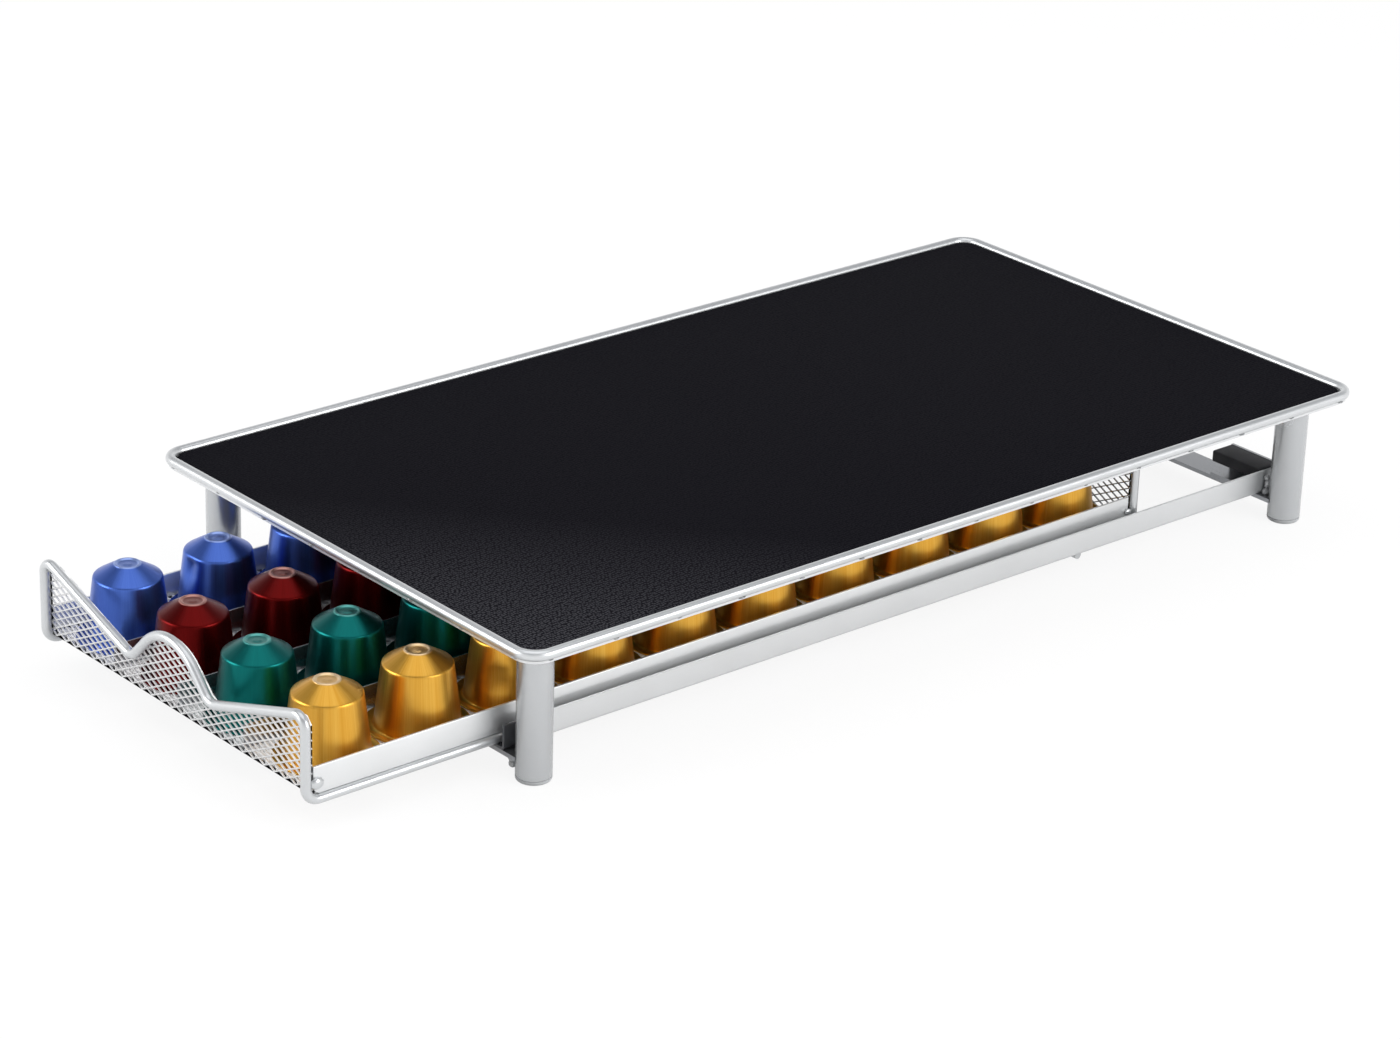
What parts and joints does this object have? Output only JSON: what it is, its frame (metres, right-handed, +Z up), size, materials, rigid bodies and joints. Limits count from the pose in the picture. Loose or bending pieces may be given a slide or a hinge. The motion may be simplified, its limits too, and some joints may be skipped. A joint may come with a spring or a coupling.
{
  "type": "coffee pod drawer",
  "caption": "Low stand with a non-slip top and wire rim, over a sliding wire and mesh drawer whose lanes hold coffee pods, on two angle rails between tube legs.",
  "frame": {"origin": "on the worktop, at the middle of the box of the stand and the partly opened drawer", "axes": "+Z up, +Y towards the rear of the stand, so the drawer opens towards -Y; +X to the right when facing the rear"},
  "size_m": [0.219, 0.4742, 0.0565],
  "materials": {
    "silver_paint": "satin silver paint",
    "mesh": "satin silver paint on expanded sheet",
    "weld": "painted over weld beads",
    "mat": "fine raised pattern, matt",
    "bumper": "matt",
    "plug": "satin",
    "blue_pod": "satin anodised foil",
    "red_pod": "satin anodised foil",
    "green_pod": "satin anodised foil",
    "gold_pod": "satin anodised foil"
  },
  "bodies": {
    "stand": {"top_rim_wire": "silver_paint", "top_plate": "silver_paint", "non_slip_mat": "mat", "front_left_leg": "silver_paint", "front_right_leg": "silver_paint", "rear_left_leg": "silver_paint", "rear_right_leg": "silver_paint", "leg_plugs": "plug", "left_rail": "silver_paint", "right_rail": "silver_paint", "front_cross_strip": "silver_paint", "rear_cross_strip": "silver_paint", "left_stop_bracket": "silver_paint", "right_stop_bracket": "silver_paint", "left_bumper": "bumper", "right_bumper": "bumper", "weld_beads": "weld"},
    "drawer": {"drawer_wire_frame": "silver_paint", "front_mesh": "mesh", "floor_mesh": "mesh", "rear_mesh": "mesh", "left_side_band": "silver_paint", "right_side_band": "silver_paint", "left_divider": "silver_paint", "middle_divider": "silver_paint", "right_divider": "silver_paint", "drawer_welds": "weld", "hook_wire": "silver_paint", "blue_pods": "blue_pod", "red_pods": "red_pod", "green_pods": "green_pod", "gold_pods": "gold_pod"}
  },
  "joints": [
    {"name": "drawer_slide", "type": "slide", "parent": "stand", "child": "drawer", "axis": [0, -1, 0], "range_m": [-0.064, 0.262]}
  ]
}
